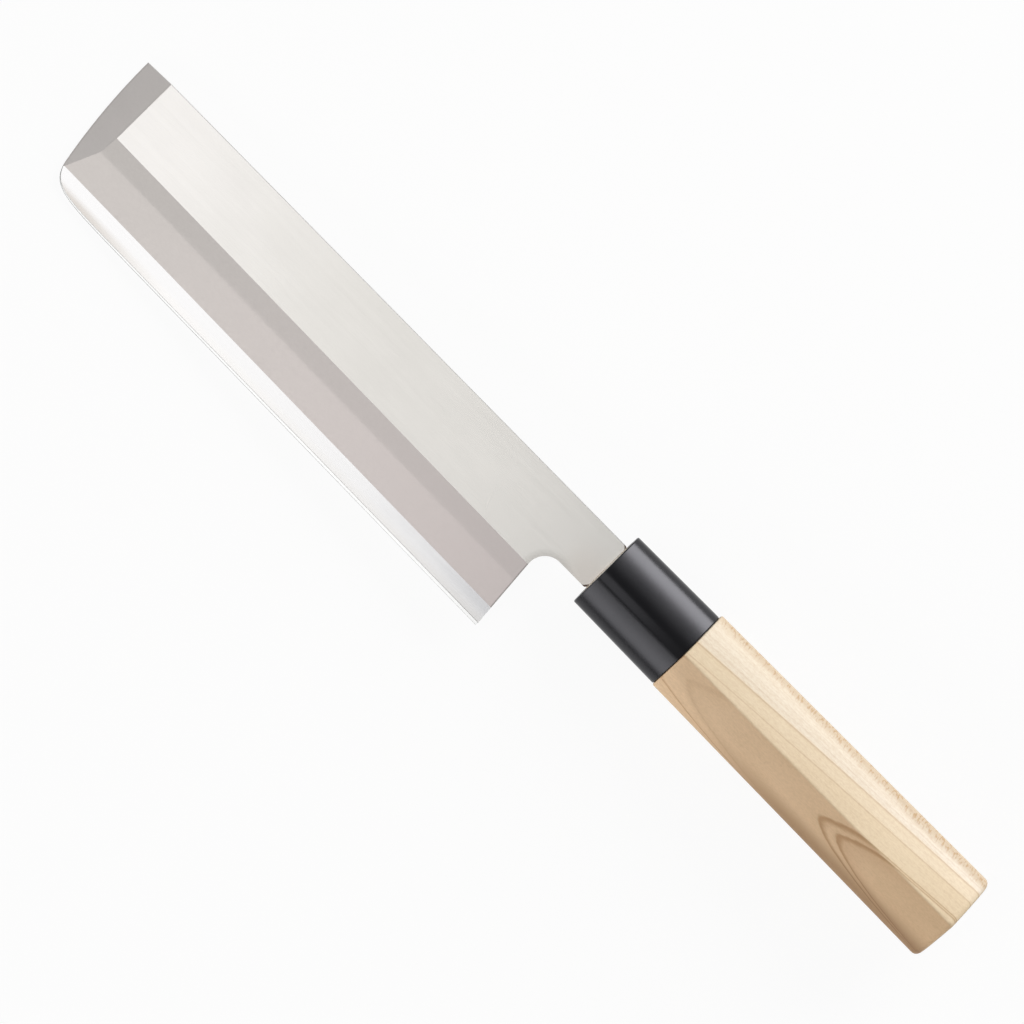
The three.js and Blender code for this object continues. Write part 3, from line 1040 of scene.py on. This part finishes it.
woodLook = {
    "pith": (109.7, -7.12, 36.79),  # a point on the tree's middle, outside the handle
    "pithLean": (0.0, 0.0636, 0.0351),  # turn of that line from the handle's, in radians
    "flatFace": -1.02,  # way from the pith to the face that is cut along the rings, in radians
    "peak": (-1.0, 2.0, 0.1),  # rings come to a point there: way, steepness and reach
    "rings": (  # radius, width where cut square, strength on the lower and on the upper facet
        (21.5, 0.7, 0.25, 0.0),
        (21.6, 0.2, 0.88, 0.7),
        (22.13, 0.22, 0.85, 0.6),
        (26.0, 0.2, 0.2, 0.05),
        (27.35, 0.24, 0.7, 0.05),
        (28.0, 0.2, 0.1, 0.4),
        (31.85, 0.26, 0.4, 0.55),
        (33.55, 0.24, 0.12, 0.15),
        (35.6, 0.26, 0.15, 0.15),
        (37.5, 0.26, 0.12, 0.12),
    ),
    "ringSpread": (0.55, 1.2, 0.45),  # share of the width at the flat face, growth a radian, and least
    "ringFade": 0.4,  # steepness inwards, as a share of that outwards
    "radiusBy": {"wobble": 0.2, "ripple": 0.08},
    "lower": ("#efcda6", "#eac69c"),  # facet cut along the rings, at the ferrule and at the butt
    "outer": ("#fbd8b0", "#eac69c"),  # its lower side, outside the rings
    "warm": ("#efdaba", "#f2dcba"),  # three zones of the upper facet, from the ridge up
    "cream": ("#edd9b9", "#f8e5c8"),
    "pale": ("#f2e4ce", "#f9ecda"),
    "side": "#dcc9af",  # along the top, darker as painted shade where the handle rounds over
    "stainAndShade": "#ab8661",  # lower side, towards the butt: partly the wood's own darker tone, partly painted shade where light falls off the steep lower side
    "streak": "#c8a679",
    "streakShare": 0.14,
    "streakBy": {"bands": 0.4, "clouds": 0.25, "fibres": 0.35, "mottle": 0.9},
    "ring": "#cdb699",  # tint of the late wood
    "fleck": "#bd8f57",
    "fleckMask": (0.0, 0.18),
    "fleckShare": 0.65,
    "end": "#dcc29b",  # end grain
    "endShare": 0.85,
    "endDepth": (0.15, 0.5),  # behind each end face
    "pore": "#b4946a",
    "poreMask": (-0.05, 0.2),
    "facetFrom": (axisY - 1.9, axisY - 1.1),
    "backFacetFrom": (axisY - 9.0, axisY + 7.0),  # a soft change, as the back has no ridge
    "backUpTo": (midZ - 2.0, midZ + 4.0),
    "outerFrom": (25.9, 26.5),  # radius
    "outerUpTo": (axisY - 8.0, axisY - 4.5),
    "creamFrom": (27.75, 28.55),  # radius
    "paleFrom": (31.55, 32.55),
    "sideFrom": (axisY + 10.1, axisY + 12.4),
    "sideBy": {"clouds": 2.0},
    "stainAndShadeFrom": (55.0, 112.0),
    "stainAndShadeUpTo": (axisY - 12.8, axisY - 8.2),
    "grains": {  # size of one mark, detail and roughness
        "wobble": ((16.0, 5.0, 5.0), 2.0, 0.5),
        "ripple": ((2.0, 1.0, 1.0), 2.0, 0.5),
        "fibres": ((14.0, 0.22, 0.22), 3.0, 0.6),
        "clouds": ((30.0, 6.0, 6.0), 2.0, 0.5),
        "mottle": ((1.1, 0.5, 0.5), 3.0, 0.7),
        "pores": ((1.0, 0.35, 0.35), 2.0, 0.5),
    },
    "ringGrains": {  # along the grain, outwards and round the tree
        "bands": ((160.0, 0.9, 90.0), 2.0, 0.5),
        "flecks": ((0.5, 2.2, 0.45), 1.0, 0.5),
    },
    "ringReach": 25.0,  # radius at which the way round the tree is measured
    "roughness": 0.55,
    "fibreRoughness": 0.2,
    "ringPolish": 0.08,
    "ringGroove": 0.4,
    "bump": (0.2, 0.04),  # strength and depth
}


def ringLines(radius, angle, upper):  # dark late wood, drawn wider where it is cut square
    look = woodLook
    atFlat, growth, least = look["ringSpread"]
    square = angle.maths("MAXIMUM", atFlat + growth * (angle - look["flatFace"]), least)
    lines = None
    for ringRadius, width, lowStrength, highStrength in look["rings"]:
        away = (radius - ringRadius) / square
        away = away.maths("MAXIMUM", away, away * -look["ringFade"])
        line = (1 - rise(away, 0.0, width)) * (lowStrength + upper * (highStrength - lowStrength))
        lines = lines.maths("MAXIMUM", lines, line) if lines else line
    return lines


def woodZones(length, height, radius, upper, side):  # the wood's tones, with painted shade along the top and low towards the butt, without its marks
    look = woodLook
    along = rise(length, ferruleHigh.x, handleHigh.x)
    lower, outer, warm, cream, pale = [
        blend(along, *map(tone, look[zone])) for zone in ("lower", "outer", "warm", "cream", "pale")
    ]
    outside = rise(radius, *look["outerFrom"]) * (1 - rise(height, *look["outerUpTo"]))
    colour = blend(upper, blend(outside, lower, outer), warm)
    colour = blend(upper * rise(radius, *look["creamFrom"]), colour, cream)
    colour = blend(upper * rise(radius, *look["paleFrom"]), colour, pale)
    # painted shade along the top, where the handle rounds over
    colour = blend(side, colour, tone(look["side"]))
    # darker low down towards the butt: partly the wood's own tone, partly painted shade
    stainAndShade = rise(length, *look["stainAndShadeFrom"]) * (1 - rise(height, *look["stainAndShadeUpTo"]))
    return blend(stainAndShade, colour, tone(look["stainAndShade"]))


def endGrain(length):  # 1 at the butt's face and at the tenon's end
    near, far = woodLook["endDepth"]
    front = 1 - rise(length, tenonX + near, tenonX + far)
    return front + rise(length, handleHigh.x - far, handleHigh.x - near)


def woodFinish():
    look = woodLook
    material, wire, place = newMaterial("sanded_wood")
    marks = grains(place, look["grains"])
    length, height, depth = axes(seat(place))
    x, y, z = axes(seat(place, look["pith"], look["pithLean"]))
    angle = wire.maths("ARCTAN2", z, y)
    peakAngle, steepness, reach = look["peak"]
    fromPeak = wire.maths("MAXIMUM", angle - peakAngle, 0.0)
    radius = (y * y + z * z) ** 0.5 + wire.maths("MINIMUM", fromPeak, reach) * steepness
    radius = sway(radius, marks, look["radiusBy"])
    polar = wire.node("ShaderNodeCombineXYZ", {}, {
        "X": x * mm, "Y": radius * mm, "Z": angle * look["ringReach"] * mm,
    })
    marks.update(grains(polar, look["ringGrains"]))
    back = 1 - rise(depth, *look["backUpTo"])
    upper = rise(height, *look["facetFrom"]) * (1 - back)
    upper = upper + rise(height, *look["backFacetFrom"]) * back
    side = rise(sway(height, marks, look["sideBy"]), *look["sideFrom"])
    colour = woodZones(length, height, radius, upper, side)
    streaks = sway(look["streakShare"], marks, look["streakBy"])
    colour = blend(streaks, colour, tone(look["streak"]))
    flecks = rise(marks["flecks"], *look["fleckMask"])
    colour = blend(flecks * side * look["fleckShare"], colour, tone(look["fleck"]))
    pores = rise(marks["pores"], *look["poreMask"])
    endColour = blend(pores, tone(look["end"]), tone(look["pore"]))
    colour = blend(endGrain(length) * look["endShare"], colour, endColour)
    lines = ringLines(radius, angle, upper)
    colour = blend(lines, colour, tone(look["ring"]), "MULTIPLY")
    roughness = look["roughness"] + marks["fibres"] * look["fibreRoughness"] - lines * look["ringPolish"]
    shade(wire, {
        "Base Color": colour,
        "Roughness": roughness,
        "Normal": bump(marks["fibres"] - lines * look["ringGroove"], *look["bump"]),
    })
    return material


# Plastic and adhesive

plasticLook = {
    "deep": "#09090b",
    "worn": "#111113",
    "wornShare": 0.25,
    "cloudShare": 0.5,
    "scuffShare": 0.2,
    "scuffMask": (0.1, 0.25),
    "roughness": 0.25,
    "cloudRoughness": 0.04,
    "scuffRoughness": 0.02,
    "gloss": 1.5,  # refractive index
    "sheen": "#f8f7ff",
    "grains": {  # size of one mark, and detail
        "peel": ((1.4, 1.4, 1.4), 2.0),
        "scuffs": ((9.0, 0.25, 0.25), 3.0),
        "clouds": ((8.0, 8.0, 8.0), 2.0),
    },
    "scuffHeight": 0.1,
    "bump": (0.04, 0.03),  # strength and depth
}
glueLook = {
    "dark": "#54433a",
    "light": "#85705f",
    "lightMask": (-0.15, 0.2),
    "pale": "#d6cbbb",
    "paleFrom": (0.28, 0.18),  # in front of the ferrule
    "roughness": 0.36,
    "lumpRoughness": 0.2,
    "lump": ((0.7, 0.7, 0.7), 3.0),  # size and detail
    "bump": (0.4, 0.15),  # strength and depth
}


def plasticFinish():
    look = plasticLook
    material, wire, place = newMaterial("moulded_black_plastic")
    marks = grains(place, look["grains"])
    clouds = marks["clouds"]
    scuffs = rise(marks["scuffs"], *look["scuffMask"])
    worn = look["wornShare"] + clouds * look["cloudShare"] + scuffs * look["scuffShare"]
    roughness = look["roughness"] + clouds * look["cloudRoughness"] + scuffs * look["scuffRoughness"]
    shade(wire, {
        "Base Color": blend(worn, tone(look["deep"]), tone(look["worn"])),
        "Roughness": roughness,
        "IOR": look["gloss"],
        "Specular Tint": tone(look["sheen"]),
        "Normal": bump(marks["peel"] + scuffs * look["scuffHeight"], *look["bump"]),
    })
    return material


def glueFinish():
    look = glueLook
    material, wire, place = newMaterial("cured_adhesive")
    lumps = grain(place, *look["lump"])
    colour = blend(rise(lumps, *look["lightMask"]), tone(look["dark"]), tone(look["light"]))
    begin, full = look["paleFrom"]
    x = axes(seat(place))[0]
    colour = blend(rise(x, noseX - begin, noseX - full), colour, tone(look["pale"]))
    shade(wire, {
        "Base Color": colour,
        "Roughness": look["roughness"] + lumps * look["lumpRoughness"],
        "Normal": bump(lumps, *look["bump"]),
    })
    return material


# Studio

studio = {
    "frameCentre": (-3.2, 3.27),  # what the picture's middle shows, in millimetres
    "frameWidth": 267.4,  # of the picture, at the blade's face
    "distance": 1250.0,
    "turn": math.radians(45.45),
    "sensorWidth": 36.0,
    "viewDepth": 20.0,  # in metres, as are the sizes below
    "floorSize": 8.0,
    "floorGap": 0.0001,
    "floorColour": "#f9f9f8",
    "floorWhite": 0.92,  # share of plain white in what the camera sees of the floor
    "sky": 0.15,
    "lamps": {  # place, aim, size, and brightness as seen
        "top_softbox": ((-0.605, -0.675, 1.9), (-0.605, -0.675, 0.0), (1.39, 2.15), 1.0),
        "tip_softbox": ((-1.3, 0.0, 0.6), (0.0, 0.0, 0.0), (1.2, 0.8), 0.8),
        "butt_softbox": ((1.3, 0.0, 0.6), (0.0, 0.0, 0.0), (1.2, 0.8), 0.8),
    },
    "gripLamps": {  # kept off the blade, which would mirror them as plain white in low views
        "spine_softbox": ((0.1, 1.2216, 0.4446), (0.1, 0.0, 0.0), (0.95, 0.624), 7.6),
        "high_softbox": ((0.1, 1.038, 0.782), (0.1, 0.0, 0.0), (0.95, 0.159), 0.8),
        "edge_softbox": ((0.1, -1.218, 0.455), (0.1, 0.0, 0.0), (1.8, 0.39), 3.1),
    },
    "bladeLamps": {  # soft light from the sides for the blade alone
        "spine_fill": ((0.0, 1.3, 0.75), (0.0, 0.0, 0.0), (4.0, 1.5), 0.5),
        "edge_fill": ((0.0, -1.3, 0.5), (0.0, 0.0, 0.0), (4.0, 1.0), 0.5),
    },
}


def lightGroup(name, members):
    group = bpy.data.collections.new(name)
    for member in members:
        group.objects.link(member)
    return group


def addLamp(name, place, aim, size, brightness, group):  # lights the group, or all where there is none
    light = bpy.data.lights.new(name, "AREA")
    light.shape = "RECTANGLE"
    light.size, light.size_y = size
    light.energy = brightness * math.pi * size[0] * size[1]
    lamp = bpy.data.objects.new(name, light)
    lamp.location = place
    lamp.rotation_euler = (Vector(aim) - Vector(place)).to_track_quat("-Z", "Y").to_euler()
    lamp.visible_camera = False
    lamp.light_linking.receiver_collection = group
    bpy.context.scene.collection.objects.link(lamp)


def floorFinish():
    material, wire, _ = newMaterial("studio_floor")
    path = wire.node("ShaderNodeLightPath", {}, {})
    seen = wire.maths("MAXIMUM", path.fellow("Is Camera Ray"), path.fellow("Is Glossy Ray"))
    seen = wire.maths("MAXIMUM", seen, path.fellow("Is Transmission Ray"))
    matt = wire.node("ShaderNodeBsdfDiffuse", {}, {"Color": tone(studio["floorColour"])})
    white = wire.node("ShaderNodeEmission", {}, {"Color": (1, 1, 1, 1), "Strength": 1.0})
    surface = wire.node("ShaderNodeMixShader", {}, {0: seen * studio["floorWhite"], 1: matt, 2: white})
    wire.node("ShaderNodeOutputMaterial", {}, {"Surface": surface})
    return material


def addFloor():  # the knife lies on its tip and on the ferrule's nose
    noseBack = Vector((noseX, 0, midZ - ferruleForm["nose"][2]))
    tipBack = Vector((tipX, 0, backZ))
    bm = bmesh.new()
    bmesh.ops.create_grid(bm, x_segments=1, y_segments=1, size=studio["floorSize"] / 2)
    mesh = bpy.data.meshes.new("floor")
    bm.to_mesh(mesh)
    bm.free()
    mesh.materials.append(floorFinish())
    floor = bpy.data.objects.new("floor", mesh)
    floor.location = tipBack * mm - Vector((0, 0, studio["floorGap"]))
    floor.rotation_euler.y = math.atan2(tipBack.z - noseBack.z, noseBack.x - tipBack.x)
    bpy.context.scene.collection.objects.link(floor)
    return floor


def addSky():
    world = bpy.data.worlds.new("studio_sky")
    world.use_nodes = True
    world.node_tree.nodes.clear()
    wire = Wire(world.node_tree)
    glow = wire.node("ShaderNodeBackground", {}, {"Color": (1, 1, 1, 1), "Strength": studio["sky"]})
    wire.node("ShaderNodeOutputWorld", {}, {"Surface": glow})
    bpy.context.scene.world = world


def addCamera():
    lens = bpy.data.cameras.new("camera")
    lens.sensor_width = studio["sensorWidth"]
    lens.lens = lens.sensor_width * studio["distance"] / studio["frameWidth"]
    lens.clip_end = studio["viewDepth"]
    camera = bpy.data.objects.new("camera", lens)
    centreX, centreY = studio["frameCentre"]
    camera.location = Vector((centreX, centreY, frontZ + studio["distance"])) * mm
    camera.rotation_euler = (0, 0, studio["turn"])
    bpy.context.scene.collection.objects.link(camera)
    bpy.context.scene.camera = camera


bladeMaterials = [  # in the order of the finishes' numbers
    flatSteel(),
    bandSteel(),
    edgeSteel(),
    plainSteel("fine_edge_bevel", steelLook["bevel"]),
    tipSteel(),
    plainSteel("satin_back", steelLook["back"]),
    lineSteel(),
    # dark tone of the rim is painted shade
    plainSteel("painted_shade_rim", steelLook["rim"]),
    plainSteel("eased_spine", steelLook["spine"]),
]
blade = makeBlade(bladeMaterials)
ferrule = makeFerrule(plasticFinish())
handle = makeHandle(woodFinish())
adhesive = makeAdhesive(glueFinish())

addCamera()
addSky()
floor = addFloor()
lampGroups = {
    "lamps": None,
    "gripLamps": lightGroup("grip_light", [ferrule, handle, adhesive, floor]),
    "bladeLamps": lightGroup("blade_light", [blade]),
}
for kind, group in lampGroups.items():
    for lampName, lampSettings in studio[kind].items():
        addLamp(lampName, *lampSettings, group)
bpy.context.scene.view_settings.view_transform = "Standard"
print("studio set")
